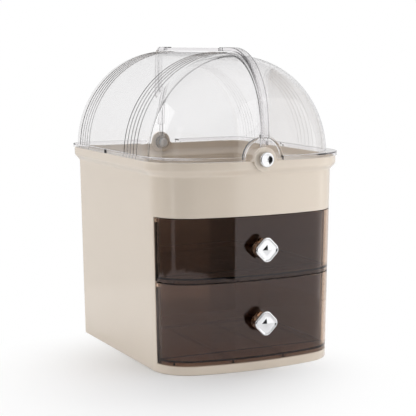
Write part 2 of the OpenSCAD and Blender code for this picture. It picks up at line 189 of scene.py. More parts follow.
def length_of(name, description, default, low, high):
    """A length that the user can change, given in millimetres."""
    return FloatProperty(
        name=name,
        description=description,
        default=default * MM,
        min=low * MM,
        max=high * MM,
        unit="LENGTH",
    )


def colour_of(name, description, default):
    return FloatVectorProperty(
        name=name, description=description, subtype="COLOR", min=0, max=1, default=default
    )


class EdgeSizes(PropertyGroup):
    """Roundings of moulded edges"""

    body: length_of("Body edges", "Rounding of the body's lower edge", 0.6, 0.1, 1.2)
    drawer: length_of("Drawer edges", "Rounding of the edges of the drawers", 0.5, 0.1, 0.9)
    handle: length_of("Handle edges", "Rounding of the handle's two arms", 0.9, 0.2, 1.4)
    metal: length_of("Knob edges", "Rounding of the knob plates' inner edge", 0.45, 0.1, 0.6)


class DomeSizes(PropertyGroup):
    """Raised lines on the dome"""

    rib_height: length_of("Rib height", "How far each hoop rib stands out", 0.6, 0.2, 0.7)
    rib_count: IntProperty(
        name="Ribs in a group",
        description="Number of hoop ribs at the front and at the back",
        default=5,
        min=1,
        max=6,
    )
    ridge_height: length_of("Seam ridge", "How far the seam's edge stands out", 0.8, 0.2, 1.0)


class Colours(PropertyGroup):
    """Colours of the mouldings and the plated trim"""

    body: colour_of("Body", "Colour of the opaque mouldings", (0.72, 0.63, 0.53))
    drawer: colour_of("Drawers", "Tint of the smoky drawers", (0.56, 0.29, 0.08))
    dome: colour_of(
        "Lids and handle", "Tint of the clear mouldings where they are thick", (0.45, 0.37, 0.42)
    )
    metal: colour_of("Plated trim", "Colour of the knobs and pivot caps", (0.82, 0.82, 0.83))


# ---------- Modelling by hand ----------


def put_down():
    """Leaves edit mode with nothing selected."""
    if bpy.context.object and bpy.context.object.mode != "OBJECT":
        bpy.ops.object.mode_set(mode="OBJECT")
    bpy.ops.object.select_all(action="DESELECT")


def take(piece):
    """Makes a piece the one that operators act on."""
    put_down()
    piece.select_set(True)
    bpy.context.view_layer.objects.active = piece
    return piece


def start_point(name, point):
    """A new piece of one vertex, open in edit mode."""
    put_down()
    bpy.ops.mesh.primitive_plane_add(size=MM, location=point)
    piece = bpy.context.object
    piece.name = piece.data.name = name
    bpy.ops.object.transform_apply()
    bpy.ops.object.mode_set(mode="EDIT")
    bpy.ops.mesh.select_mode(type="VERT")
    bpy.ops.mesh.select_all(action="SELECT")
    bpy.ops.mesh.merge(type="CENTER")
    return piece


def extrude_by(move):
    bpy.ops.mesh.extrude_region_move(TRANSFORM_OT_translate={"value": move})


def trace(name, points):
    """A new piece: an open line through points, in edit mode with all of it selected."""
    piece = start_point(name, points[0])
    for last, point in zip(points, points[1:]):
        extrude_by(Vector(point) - Vector(last))
    bpy.ops.mesh.select_all(action="SELECT")
    return piece


def trace_face(name, points):
    """A new piece: one flat face round points, in edit mode and selected."""
    piece = trace(name, points)
    bpy.ops.mesh.edge_face_add()
    return piece


def face_outwards():
    bpy.ops.mesh.select_all(action="SELECT")
    bpy.ops.mesh.normals_make_consistent(inside=False)


def start_block(name, outline, z, rise):
    """A new piece: a flat outline at z drawn out by rise, with every face outwards."""
    piece = trace_face(name, at_level(outline, z))
    extrude_by((0, 0, rise))
    face_outwards()
    return piece


def select_flat(piece, z):
    """Selects the large flat face at a level."""
    select(
        piece,
        "FACE",
        lambda f: len(f.verts) > 8
        and abs(f.normal.z) > 0.99
        and abs(f.calc_center_median().z - z) < NEAR,
    )


def select(piece, kind, test):
    """In edit mode, selects only the vertices, edges or faces for which test is true."""
    bpy.ops.mesh.select_mode(type=kind)
    bpy.ops.mesh.select_all(action="DESELECT")
    mesh = bmesh.from_edit_mesh(piece.data)
    for part in {"VERT": mesh.verts, "EDGE": mesh.edges, "FACE": mesh.faces}[kind]:
        if test(part):
            part.select_set(True)
    mesh.select_flush_mode()
    bmesh.update_edit_mesh(piece.data)


def walk(steps):
    """Takes the selected flat face through (inset, rise) steps."""
    for inset, rise in steps:
        if inset:
            bpy.ops.mesh.inset(thickness=inset, depth=0, use_even_offset=True)
            bpy.ops.transform.translate(value=(0, 0, rise))
        else:
            extrude_by((0, 0, rise))


def rounding(radius, inward, upward, count=4):
    """Steps over a rounded edge of a face that shrinks: first away from the wall (inward
    False) or first into it. upward is 1 or -1."""
    steps = []
    for k in range(count):
        a, b = (math.radians(90 * (k + i) / count) for i in (0, 1))
        flat, rise = math.cos(a) - math.cos(b), math.sin(b) - math.sin(a)
        if inward:
            flat, rise = rise, flat
        steps.append((radius * flat, upward * radius * rise))
    return steps


def close_up(piece):
    """Merges doubles and turns every face outwards, in edit mode."""
    bpy.ops.mesh.select_all(action="SELECT")
    bpy.ops.mesh.remove_doubles(threshold=MERGED)
    face_outwards()
    bpy.ops.object.mode_set(mode="OBJECT")
    return piece


def slab(name, outline, z, rise):
    """A closed piece: a flat outline at z drawn out by rise."""
    piece = trace_face(name, at_level(outline, z))
    extrude_by((0, 0, rise))
    return close_up(piece)


def spin(degrees, steps):
    """Spins the selection about the pivots."""
    turn, centre = math.radians(degrees), (0, 0, PIVOT_Z)
    bpy.ops.mesh.spin(steps=steps, angle=turn, center=centre, axis=(0, 1, 0))


def soften(piece, width, segments=3, angle=40, clamp=True):
    """Rounds a piece's sharp edges."""
    take(piece)
    bevel = piece.modifiers.new("Edge", "BEVEL")
    bevel.width = width
    bevel.segments = segments
    bevel.limit_method = "ANGLE"
    bevel.angle_limit = math.radians(angle)
    bevel.use_clamp_overlap = clamp
    bpy.ops.object.modifier_apply(modifier=bevel.name)
    return piece


def combine(piece, other, operation="UNION"):
    """Joins another piece to this one as one solid, or cuts it away."""
    take(piece)
    cut = piece.modifiers.new("Combine", "BOOLEAN")
    cut.operation = operation
    cut.solver = "EXACT"
    cut.object = other
    bpy.ops.object.modifier_apply(modifier=cut.name)
    bpy.data.objects.remove(other)
    return piece


def block(name, low, high):
    """A plain block between two corners, used to cut or to join."""
    put_down()
    low, high = Vector(low), Vector(high)
    bpy.ops.mesh.primitive_cube_add(size=1, location=(low + high) / 2)
    piece = bpy.context.object
    piece.name = name
    piece.scale = high - low
    bpy.ops.object.transform_apply()
    return piece


def disc(name, radius, place, depth, vertices=96, along="Z"):
    """A round bar that starts at place and runs depth along +Z, or towards the front (-Y)."""
    put_down()
    turn = (math.pi / 2, 0, 0) if along == "front" else (0, 0, 0)
    way = Vector((0, -1, 0)) if along == "front" else Vector((0, 0, 1))
    bpy.ops.mesh.primitive_cylinder_add(
        vertices=vertices,
        radius=radius,
        depth=depth,
        location=Vector(place) + way * depth / 2,
        rotation=turn,
    )
    piece = bpy.context.object
    piece.name = name
    bpy.ops.object.transform_apply()
    return piece


def finish(context, piece, body, slot, replaced):
    """Shades a piece, gives it its slot's material and lets it ride on its body."""
    take(piece)
    bpy.ops.object.shade_smooth_by_angle(angle=math.radians(SHARP_DEG))
    weighted = piece.modifiers.new("Shading", "WEIGHTED_NORMAL")
    weighted.keep_sharp = True
    bpy.ops.object.modifier_apply(modifier=weighted.name)
    bpy.ops.object.transform_apply()
    piece.data.materials.clear()
    piece.data.materials.append(materials(context)[slot])
    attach(piece, body)
    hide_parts(*replaced)
    put_down()
    return piece


# ---------- Outlines that several pieces share ----------


def arc(x, y, radius, start, end, count):
    """Points of an arc, in degrees from +X, ends included."""
    return [
        (x + radius * math.cos(a), y + radius * math.sin(a))
        for a in (math.radians(start + (end - start) * k / count) for k in range(count + 1))
    ]


def front_half(grow):
    """The right half of the bowed front's plan, from the right side to the middle."""
    tilt = math.degrees(BOW_TILT)
    corner = arc(HALF_W - FRONT_R, CORNER_Y, FRONT_R + grow, 0, tilt - 90, 26)
    bow = arc(0, BOW_Y, BOW_R + grow, tilt - 90, -90, 14)
    return corner[:-1] + bow


def mirrored(half):
    """A right half from back to front, with its mirror image from front to back."""
    other = [(-x, y) for x, y in reversed(half)]
    return half + (other[1:] if abs(half[-1][0]) < 1e-9 else other)


def body_outline(grow, back_r=BACK_R):
    corner = arc(HALF_W - back_r, HALF_D - back_r, back_r + grow, 90, 0, 10)
    return mirrored(corner + front_half(grow))


def box_outline(grow):
    """Plan of a drawer's box behind its front, which it runs into."""
    x = HALF_W - DRAWER_BACK_R
    y = DRAWER_BACK - DRAWER_BACK_R
    corner = arc(x, y, DRAWER_BACK_R + grow - BOX_IN, 90, 0, 10)
    return mirrored(corner + [(HALF_W + grow - BOX_IN, DRAWER_EDGE - 8 * MM)])


def lean(z):
    return DRAFT * z


def at_level(outline, z):
    return [(x, y, z) for x, y in outline]


def swung(points, degrees):
    """Points of the (radius, front) plane, turned about the pivot axis: 0 right, 90 up."""
    a = math.radians(degrees)
    return [(r * math.cos(a), -s, PIVOT_Z + r * math.sin(a)) for r, s in points]


def dome_line(grow, start_r, ridges=()):
    """The dome's wall in the (radius, front) plane, from start_r at the front to the middle
    of the back. ridges are (front end, back end, height) of raised lines."""
    radius = BOW_R + grow
    first = math.degrees(math.asin(start_r / radius))
    tilt = math.degrees(NOSE_TILT)
    bow = arc(0, DOME_FRONT - BOW_R, radius, 90 - first, 90 - tilt, 6)
    centre = DOME_R - NOSE_R
    nose = arc(centre, NOSE_S, NOSE_R + grow, 90 - tilt, 0, 36)
    line = bow[:-1]
    for s_front, s_back, height in ridges:
        if s_front > NOSE_S:
            ends = [math.degrees(math.asin((s - NOSE_S) / NOSE_R)) for s in (s_front, s_back)]
            raised = arc(centre, NOSE_S, NOSE_R + grow + height, ends[0], ends[1], 2)
            foot = [arc(centre, NOSE_S, NOSE_R + grow, a, a, 1)[0] for a in ends]
            line += [p for p in nose if p[1] > foot[0][1] + 0.2 * MM]
            line += [foot[0]] + raised + [foot[1]]
            nose = [p for p in nose if p[1] < foot[1][1] - 0.2 * MM]
    line += nose
    wall_r = DOME_R + grow
    for s_front, s_back, height in ridges:
        if s_front <= NOSE_S:
            middle, half = (s_front + s_back) / 2, (s_front - s_back) / 2
            line += [
                (wall_r + height * math.sin(a), middle + half * math.cos(a))
                for a in (math.pi * k / 6 for k in range(7))
            ]
    line += arc(DOME_R - HEEL_R, HEEL_R - DOME_BACK, HEEL_R + grow, 0, -90, 8)
    return line


# ---------- Materials ----------


class Wire:
    """A socket's value. Ordinary arithmetic on it adds Math nodes."""

    def __init__(self, finish_, socket):
        self.finish = finish_
        self.socket = socket

    def _math(self, operation, first, second):
        return self.finish.node("ShaderNodeMath", {"operation": operation}, {0: first, 1: second})

    def __add__(self, other):
        return self._math("ADD", self, other)

    def __mul__(self, other):
        return self._math("MULTIPLY", self, other)

    def __rsub__(self, other):
        return self._math("SUBTRACT", other, self)

    def clamp(self):
        return self.finish.node("ShaderNodeClamp", {}, {0: self})


class Finish:
    """A material, or the world, while its nodes are laid."""

    def __init__(self, name, kind="materials"):
        self.material = getattr(bpy.data, kind).new(name)
        self.material.use_nodes = True
        self.tree = self.material.node_tree
        self.tree.nodes.clear()
        self.object = self.node("ShaderNodeTexCoord", {}, {}, "Object")

    def node(self, kind, settings, sockets, output=0):
        """Adds a node. Its settings are set first, then its sockets' values and links."""
        made = self.tree.nodes.new(kind)
        for name, value in settings.items():
            setattr(made, name, value)
        for name, value in sockets.items():
            if isinstance(value, Wire):
                self.tree.links.new(value.socket, made.inputs[name])
            elif isinstance(value, tuple):
                wide = made.inputs[name].type == "RGBA"
                made.inputs[name].default_value = (*value, 1) if wide else value
            else:
                made.inputs[name].default_value = value
        return Wire(self, made.outputs[output])

    def noise(self, scale, detail, roughness=0.5, stretch=(1, 1, 1)):
        place = self.object
        if stretch != (1, 1, 1):
            place = self.node("ShaderNodeMapping", {}, {0: place, "Scale": stretch})
        sockets = {"Vector": place, "Scale": scale, "Detail": detail, "Roughness": roughness}
        return self.node("ShaderNodeTexNoise", {}, sockets)

    def blend(self, share, first, second):
        """A colour between two, by a share from 0 to 1."""
        sockets = {0: share, 6: first, 7: second}
        return self.node("ShaderNodeMix", {"data_type": "RGBA"}, sockets, 2)

    def bump(self, height, strength, distance):
        sockets = {"Height": height, "Strength": strength, "Distance": distance}
        return self.node("ShaderNodeBump", {}, sockets)

    def surface(self, shader, kind="ShaderNodeOutputMaterial", inside=None):
        out = self.tree.nodes.new(kind)
        self.tree.links.new(shader.socket, out.inputs["Surface"])
        if inside:
            self.tree.links.new(inside.socket, out.inputs["Volume"])
        return self.material

    def ray(self, kind):
        return self.node("ShaderNodeLightPath", {}, {}, kind)

    def between(self, share, first, second):
        """A shader between two, by a share from 0 to 1."""
        return self.node("ShaderNodeMixShader", {}, {0: share, 1: first, 2: second})

    def grows(self, value, low, high):
        """From 0 to 1, smoothly, as a value goes from low to high."""
        sockets = {"Value": value, "From Min": low, "From Max": high}
        return self.node("ShaderNodeMapRange", {"interpolation_type": "SMOOTHSTEP"}, sockets)

    def principled(self, **sockets):
        named = {name.replace("_", " "): value for name, value in sockets.items()}
        return self.node("ShaderNodeBsdfPrincipled", {}, named)

    def seen_straight(self):
        """1 for a ray from the camera, or one that only clear pieces have let through."""
        straight = (1 - self.ray("Diffuse Depth")).clamp()
        return (self.ray("Is Camera Ray") + self.ray("Is Transmission Ray") * straight).clamp()

    def lets_light_by(self, shader, tint):
        """The shader, but lamps shine through it as through thin plastic."""
        clear = self.node("ShaderNodeBsdfTransparent", {}, {"Color": tint})
        return self.between(self.ray("Is Shadow Ray"), shader, clear)


def shade(colour, factor):
    return tuple(min(1.0, c * factor) for c in colour)


def moulded_plastic(colour):
    """Glossy opaque moulding, with a faint flow mottle and the ripple of a polished mould."""
    f = Finish("moulded_plastic")
    cloud = f.noise(9, 3)
    speck = f.noise(420, 2)
    tone = f.blend(cloud, shade(colour, 0.97), shade(colour, 1.03))
    tone = f.blend(speck * 0.25, tone, shade(colour, 0.93))
    ripple = f.noise(38, 1) * 0.8 + f.noise(260, 2) * 0.12
    scuff = f.noise(60, 4, 0.7, (1, 1, 6))
    shader = f.principled(
        Base_Color=tone,
        Roughness=(scuff * 0.10 + 0.13),
        IOR=1.53,
        Coat_Weight=0.35,
        Coat_Roughness=0.06,
        Normal=f.bump(ripple, 0.12, 0.4 * MM),
    )
    return f.surface(shader)


def see_through(name, tint, density, passed, mirrored, haze, wave):
    """Clear or smoky moulding that darkens with its thickness, with faint waves, flow lines
    and a little handling haze. tint is the colour that gets through it best, and passed
    what each of its faces lets by. mirrored is the colour of its reflections."""
    f = Finish(name)
    cloud = f.noise(14, 3)
    tone = f.blend(cloud, shade(passed, 0.98), shade(passed, 1.01))
    flow = f.noise(16, 2, 0.5, (1, 1, 0.25))
    ripple = flow * 0.9 + f.noise(60, 1) * 0.04
    scuff = f.noise(90, 5, 0.7, (1, 1, 5))
    shader = f.principled(
        Base_Color=tone,
        Roughness=(scuff * haze + 0.01),
        IOR=1.49,
        Specular_Tint=mirrored,
        Transmission_Weight=1.0,
        Normal=f.bump(ripple, wave, 0.4 * MM),
    )
    inside = f.node("ShaderNodeVolumeAbsorption", {}, {"Color": tint, "Density": density})
    return f.surface(f.lets_light_by(shader, passed), inside=inside)


def plated_trim(colour):
    """Bright plated plastic with slight mould waves and fine wipe marks."""
    f = Finish("plated_trim")
    cloud = f.noise(60, 3)
    wipe = f.noise(500, 3, 0.6, (1, 0.15, 1))
    tone = f.blend(cloud, shade(colour, 0.94), colour)
    shader = f.principled(
        Base_Color=tone,
        Metallic=1.0,
        Roughness=(wipe * 0.06 + 0.05),
        Normal=f.bump(f.noise(120, 2), 0.06, 0.3 * MM),
    )
    return f.surface(shader)


def turned_steel():
    """Plain steel of the pins, screws and washers, with fine turning marks."""
    f = Finish("turned_steel")
    marks = f.noise(900, 2, 0.5, (1, 0.1, 1))
    tone = f.blend(marks, (0.5, 0.5, 0.51), (0.66, 0.66, 0.67))
    shader = f.principled(
        Base_Color=tone,
        Metallic=1.0,
        Roughness=(marks * 0.15 + 0.25),
        Normal=f.bump(marks, 0.15, 0.05 * MM),
    )
    return f.surface(shader)


def studio_ground(colour, glow):
    """Matt paper that turns to a painted white glow where it is far off, covering the object's
    shadow there. Gloss picks up only the near part of it.
    """
    f = Finish("studio_paper")
    grain = f.noise(300, 4)
    tone = f.blend(grain, shade(colour, 0.99), colour)
    paper = f.principled(
        Base_Color=tone,
        Roughness=0.8,
        Specular_IOR_Level=0.1,
        Normal=f.bump(grain, 0.05, 0.2 * MM),
    )
    lift = f.node("ShaderNodeEmission", {}, {"Strength": glow})
    near = f.node("ShaderNodeAddShader", {}, {0: paper, 1: lift})
    white = f.node("ShaderNodeEmission", {}, {"Strength": 1.0})
    reach = f.node("ShaderNodeVectorMath", {"operation": "LENGTH"}, {0: f.object}, 1)
    sockets = {"Value": reach + f.noise(5, 2) * 0.16, "From Min": 0.6, "From Max": 0.62}
    beyond = f.node("ShaderNodeMapRange", {}, sockets)
    # Painted white glow that grows with distance from the floor's centre and covers the object's
    # shadow; near the centre the lit paper keeps its shadow under a faint even glow
    shown = f.between(f.grows(reach, 0.05, 0.28), near, white)
    plain = f.between(f.seen_straight(), paper, shown)
    gone = f.node("ShaderNodeBsdfTransparent", {}, {})
    return f.surface(f.between(f.ray("Is Glossy Ray") * beyond, plain, gone))


def studio_world(fill, high, front, mirrored, dark):
    """White where it is looked at. Gloss mirrors the backdrop behind the object at one
    strength and the dark room in front of it at another. high and front are what clear
    pieces bring in from overhead and from the room."""
    f = Finish("studio_world", "worlds")

    def sky(strength):
        return f.node("ShaderNodeBackground", {}, {"Color": (1, 1, 1), "Strength": strength})

    away = {0: f.object, 1: (0.435, 0.9, 0)}
    along = f.node("ShaderNodeVectorMath", {"operation": "DOT_PRODUCT"}, away, 1)
    height = f.node("ShaderNodeSeparateXYZ", {}, {0: f.object}, 2)
    room = f.between(f.grows(along, 0.0, 0.5), sky(dark), sky(mirrored))
    room = f.between(f.grows(height, 0.15, 0.6), room, sky(mirrored))
    through = f.between(f.grows(height, 0.35, 0.75), sky(1.0), sky(high))
    through = f.between(f.grows(along, -0.2, 0.3), sky(front), through)
    bounced = f.between(f.ray("Is Glossy Ray"), sky(fill), room)
    shown = f.between(f.seen_straight(), bounced, through)
    shown = f.between(f.ray("Is Camera Ray"), shown, sky(1.0))
    return f.surface(shown, "ShaderNodeOutputWorld")


MATERIALS = {}


def materials(context):
    """The organizer's materials by slot, made once."""
    if not MATERIALS:
        colours = context.scene.organizer_colours
        dome, smoke = tuple(colours.dome), tuple(colours.drawer)
        by, warm, white = (0.85, 0.73, 0.63), (1, 0.87, 0.87), (1, 1, 1)
        MATERIALS.update(
            beige_plastic=moulded_plastic(tuple(colours.body)),
            smoke_plastic=see_through("smoky_plastic", smoke, 62, by, warm, 0.015, 0.04),
            clear_plastic=see_through("clear_plastic", dome, 24, (0.98,) * 3, white, 0.008, 0.02),
            chrome_trim=plated_trim(tuple(colours.metal)),
            steel=turned_steel(),
        )
    return MATERIALS


# ---------- Pieces ----------


def ear(name, face, towards_front):
    """Round ear with concave fillets where it rises from the rim."""
    fillet = 4 * MM
    rise = PIVOT_Z - RIM_TOP
    reach = math.sqrt((EAR_R + fillet) ** 2 - (fillet - rise) ** 2)
    meet = math.degrees(math.atan2(fillet - rise, reach))
    foot = arc(reach, fillet - rise, fillet, 270, 180 + meet, 6)
    over = arc(0, 0, EAR_R, meet, 90, 20)
    under = arc(0, 0, EAR_R, -90, -8, 20)
    half = under + foot + over[1:]
    outline = half + [(-x, z) for x, z in reversed(half[:-1])][:-1]
    start = face if towards_front else -face + EAR_T
    piece = trace_face(name, [(x, -start, PIVOT_Z + z) for x, z in outline])
    extrude_by((0, EAR_T, 0))
    return close_up(piece)


def make_housing(edges):
    r = edges.body
    rim_drop = -(RIM_TOP - RIM_LOW - RIM_ROUND - RIM_FOOT)
    cove = []
    top, low = RIM_LOW + RIM_FOOT, COVE_LOW
    for k in range(COVE_STEPS):
        smooth = [3 * t * t - 2 * t * t * t for t in (k / COVE_STEPS, (k + 1) / COVE_STEPS)]
        drop = (top - low) / COVE_STEPS
        cove.append(((smooth[1] - smooth[0]) * (RIM_G - lean(low)), -drop))
    walls = [(lean(low) - lean(r), -(low - r))]
    rim = RIM_TOP - RIM_ROUND
    piece = start_block("housing_shell", body_outline(RIM_G), rim, rim_drop)
    select_flat(piece, rim + rim_drop)
    walk(cove + walls + [(0.25 * r, -0.6 * r), (0.75 * r, -0.4 * r)])
    # Skirt under the floor
    walk([(WALL - 1.5 * r, 0), (0.3 * r, 0.3 * r)])
    walk([(0, BASE_H - FLOOR_T - 0.3 * r)])
    # Over the rim and down inside
    select_flat(piece, rim)
    walk(rounding(RIM_ROUND, False, 1))
    walk([(WALL - RIM_ROUND - RIM_IN_ROUND, 0)] + rounding(RIM_IN_ROUND, True, -1, 3))
    walk([(0, -(RIM_TOP - RIM_LOW - RIM_IN_ROUND - RIM_FOOT))])
    walk(cove)
    walk([(lean(low) - lean(BASE_H), -(low - BASE_H))])
    close_up(piece)
    # Opening for the drawers
    combine(piece, block("opening", (-FAR, -FAR, BASE_H), (FAR, EDGE_Y, BAY_TOP)), "DIFFERENCE")
    for z in (BAY_TOP + LEDGE_T, SHELF_Z):
        ring = slab("ledge", body_outline(lean(z) - WALL / 2, LEDGE_BACK_R), z, -LEDGE_T)
        inner = body_outline(lean(z) - WALL - LEDGE_W, LEDGE_BACK_R)
        combine(ring, slab("ledge_hole", inner, z + MM, -LEDGE_T - 2 * MM), "DIFFERENCE")
        if z < BAY_TOP:
            combine(ring, block("front", (-FAR, -FAR, 0), (FAR, EDGE_Y, FAR)), "DIFFERENCE")
        combine(piece, ring)
    for i in (-1, 0, 1):
        for long_way in (True, False):
            half = RUNNER_T / 2
            if long_way:
                x, reach = i * RUNNER_PITCH, HALF_D - 3.2 * MM - (4.2 * MM if i else 0)
                low, high = (x - half, -reach), (x + half, HALF_D - WALL / 2)
            else:
                y, reach = i * HALF_D / 2, HALF_W - WALL / 2
                low, high = (-reach, y - half), (reach, y + half)
            combine(piece, block("floor_rib", (*low, 0), (*high, BASE_H - FLOOR_T / 2)))
    combine(piece, soften(ear("front_ear", FRONT_EAR, True), EAR_EDGE, 3, 50))
    combine(piece, soften(ear("back_ear", BACK_EAR, False), EAR_EDGE, 3, 50))
    soften(piece, BODY_EDGE, 2, 50, clamp=False)
    # Flat underside
    bpy.ops.object.mode_set(mode="EDIT")
    select(piece, "VERT", lambda v: v.co.z < 0.05 * MM)
    bpy.ops.transform.resize(value=(1, 1, 0), center_override=(0, 0, 0))
    bpy.ops.object.mode_set(mode="OBJECT")
    return piece


def taper(name, outline, skin, z0, z1):
    """A leaning solid whose plan is an outline less a skin all round."""
    piece = start_block(name, outline(lean(z1) - skin), z1, -0.2 * MM)
    select_flat(piece, z1 - 0.2 * MM)
    drop = z1 - z0 - 0.2 * MM
    walk([(lean(drop), -drop)])
    ring = z1 - 0.2 * MM
    select(piece, "EDGE", lambda e: all(abs(v.co.z - ring) < NEAR for v in e.verts))
    bpy.ops.mesh.dissolve_edges(use_verts=True)
    return close_up(piece)


def drawer_form(name, skin, z0, z1, box_top):
    """The form of a drawer less a skin all round: its wrapped front and the box behind it."""
    piece = taper(name, body_outline, skin, z0, z1)
    behind = block("behind", (-FAR, DRAWER_EDGE - skin, -FAR), (FAR, FAR, FAR))
    combine(piece, behind, "DIFFERENCE")
    return combine(piece, taper("box", box_outline, skin, z0, box_top))


def make_drawer(name, z0, z1, edges):
    floor = z0 + SKIRT_H
    piece = drawer_form(name, 0, z0, z1, z1 - BOX_DROP)
    combine(piece, drawer_form("inside", FRONT_T, floor + SHEET, z1 + MM, z1 + MM), "DIFFERENCE")
    combine(piece, drawer_form("under", SHEET, z0 - MM, floor, floor), "DIFFERENCE")
    for i in range(4):
        x = (i - 1.5) * RUNNER_PITCH
        front = RUNNER_FRONT[abs(x) > RUNNER_PITCH] - HALF_D
        low = (x - RUNNER_T / 2, front, z0 + 0.3 * MM)
        high = (x + RUNNER_T / 2, DRAWER_BACK - BOX_IN - SHEET / 2, floor + SHEET / 2)
        combine(piece, block("runner", low, high))
    middle = DRAWER_BACK - DRAWER_DEPTH / 2
    ring = disc("gate", GATE_R, (0, middle, floor - GATE_T), GATE_T + SHEET / 2, 64)
    hole = disc("gate_hole", GATE_R - RUNNER_T, (0, middle, z0), SKIRT_H + SHEET / 4, 64)
    combine(ring, hole, "DIFFERENCE")
    combine(piece, ring)
    return soften(piece, edges.drawer, 3, 50, clamp=False)


def diamond(span, radius):
    """Outline of a square on its corner, with rounded corners, span across them."""
    reach = span / 2 + radius * (math.sqrt(2) - 1)
    centre = reach - radius * math.sqrt(2)
    points = []
    for k in range(4):
        x, y = centre * math.cos(k * math.pi / 2), centre * math.sin(k * math.pi / 2)
        points += arc(x, y, radius, 90 * k - 45, 90 * k + 45, 8)
    return points


def on_drawer(piece, z0, z1):
    """Stands a piece that was made up +Z on the front of a drawer."""
    z = (z0 + z1) / 2
    take(piece)
    piece.rotation_euler = (math.pi / 2, 0, 0)
    piece.location = (0, -HALF_D - lean(z), z)
    bpy.ops.object.transform_apply()
    return piece


def make_knob_stem(name):
    rise = KNOB_H - PLATE_T - 0.55 * MM
    piece = start_block(name, diamond(STEM_SPAN, STEM_R), 0.5 * MM, rise)
    return soften(close_up(piece), STEM_EDGE)


def make_knob_plate(name, edges):
    r, sunk = edges.metal, 0.1 * MM
    outline = diamond(PLATE_SPAN, PLATE_R)
    piece = start_block(name, outline, KNOB_H - PLATE_T, PLATE_T - PLATE_EDGE)
    select_flat(piece, KNOB_H - PLATE_EDGE)
    walk(rounding(PLATE_EDGE, False, 1))
    walk([(PLATE_CREST - r, 0)] + rounding(r, True, -1, 3))
    walk([(PLATE_SLOPE, -(DISH - r))])
    close_up(piece)
    put_down()
    bpy.ops.mesh.primitive_cone_add(
        vertices=4,
        radius1=GEM_R + 0.35 * MM,
        depth=GEM_H + sunk,
        location=(0, 0, KNOB_H - DISH - sunk + (GEM_H + sunk) / 2),
    )
    gem = bpy.context.object
    bpy.ops.object.transform_apply()
    soften(gem, 0.18 * MM, 2, 20)
    return combine(piece, gem)


def make_cap(name, face, towards_front):
    """A turned cap on the outer face of an ear, from its (radius, out) profile."""
    r, t, e = CAP_R, CAP_T, 1.2 * MM
    edge = arc(r - e, t - e, e, 0, 90, 5)
    dish = [(r - 2.2 * MM, t - 0.12 * MM), (6 * MM, t - 0.35 * MM), (4.5 * MM, t - 0.7 * MM)]
    dimple = [(3.4 * MM, t - 1 * MM), (2.4 * MM, t - 1.15 * MM), (2.1 * MM, t - 2 * MM)]
    profile = [(0, 0), (r - 0.5 * MM, 0), (r, 0.5 * MM)] + edge + dish + dimple
    profile += [(1.2 * MM, t - 2.15 * MM), (0, t - 2.2 * MM)]
    way = -1 if towards_front else 1
    piece = trace(name, [(r, way * (face + out), PIVOT_Z) for r, out in profile])
    spin(360, 64)
    return close_up(piece)


def plan_run(outline, side, start):
    """The part of a closed plan beyond start on one side, from front to back, with its ends
    cut at start."""
    ring = [(side * x, y) for x, y in outline]
    run = [p for p in ring if p[0] > start]
    run.sort(key=lambda p: math.atan2(p[1], p[0]))
    run = [(start, interpolate(ring, start, -1))] + run + [(start, interpolate(ring, start, 1))]
    return [(side * x, y) for x, y in run]


def interpolate(ring, x, side):
    """Where a closed plan crosses x, at its front (side -1) or back (side 1)."""
    for (x0, y0), (x1, y1) in zip(ring, ring[1:] + ring[:1]):
        if (x0 - x) * (x1 - x) <= 0 and x0 != x1 and y0 * side > 0 and y1 * side > 0:
            return y0 + (y1 - y0) * (x - x0) / (x1 - x0)
    raise ValueError("the outline doesn't cross there")


def band(name, outer, inner, low, high):
    """A flat band between two plan lines that both run from front to back."""
    return slab(name, outer + inner[::-1], low, high - low)


def make_flange(side, grow):
    outer = plan_run(body_outline(RIM_G + FLANGE_OUT), side, FLANGE_END)
    inside = plan_run(body_outline(RIM_G + FLANGE_OUT - 1.8 * MM), side, FLANGE_END)
    foot = [(side * r, -s) for r, s in dome_line(grow - LID_T / 2, FLANGE_END)]
    foot.append((side * FLANGE_END, foot[-1][1]))
    plate = band("flange", outer, foot, FLANGE_TOP - LID_T, FLANGE_TOP)
    lip = band("lip", outer, inside, FLANGE_LOW, FLANGE_TOP - LID_T / 2)
    combine(plate, lip)
    notch_x = side * (HALF_W + RIM_G + FLANGE_OUT + THUMB_R - THUMB_IN)
    notch = disc("notch", THUMB_R, (notch_x, THUMB_Y, FLANGE_LOW - MM), 7 * MM)
    combine(plate, notch, "DIFFERENCE")
    # Round the upper edge all along the outside
    take(plate)
    bpy.ops.object.mode_set(mode="EDIT")
    rim = [Vector((x, y, FLANGE_TOP)) for x, y in outer]
    select(
        plate,
        "EDGE",
        lambda e: all(any((v.co - r).length < 0.05 * MM for r in rim) for v in e.verts),
    )
    bpy.ops.mesh.bevel(offset=0.5 * MM, segments=3, affect="EDGES")
    bpy.ops.object.mode_set(mode="OBJECT")
    return plate


def make_ridge(height):
    """The raised edge that runs along the seam of the outer lid."""
    start = CUP_R + 4 * MM
    outer = dome_line(height, start) + [(start, -DOME_BACK - height)]
    inner = dome_line(-LID_T / 2, start) + [(start, LID_T / 2 - DOME_BACK)]
    piece = trace_face("ridge", swung(outer + inner[::-1], 90.06))
    spin(RIDGE_DEG, 1)
    return close_up(piece)


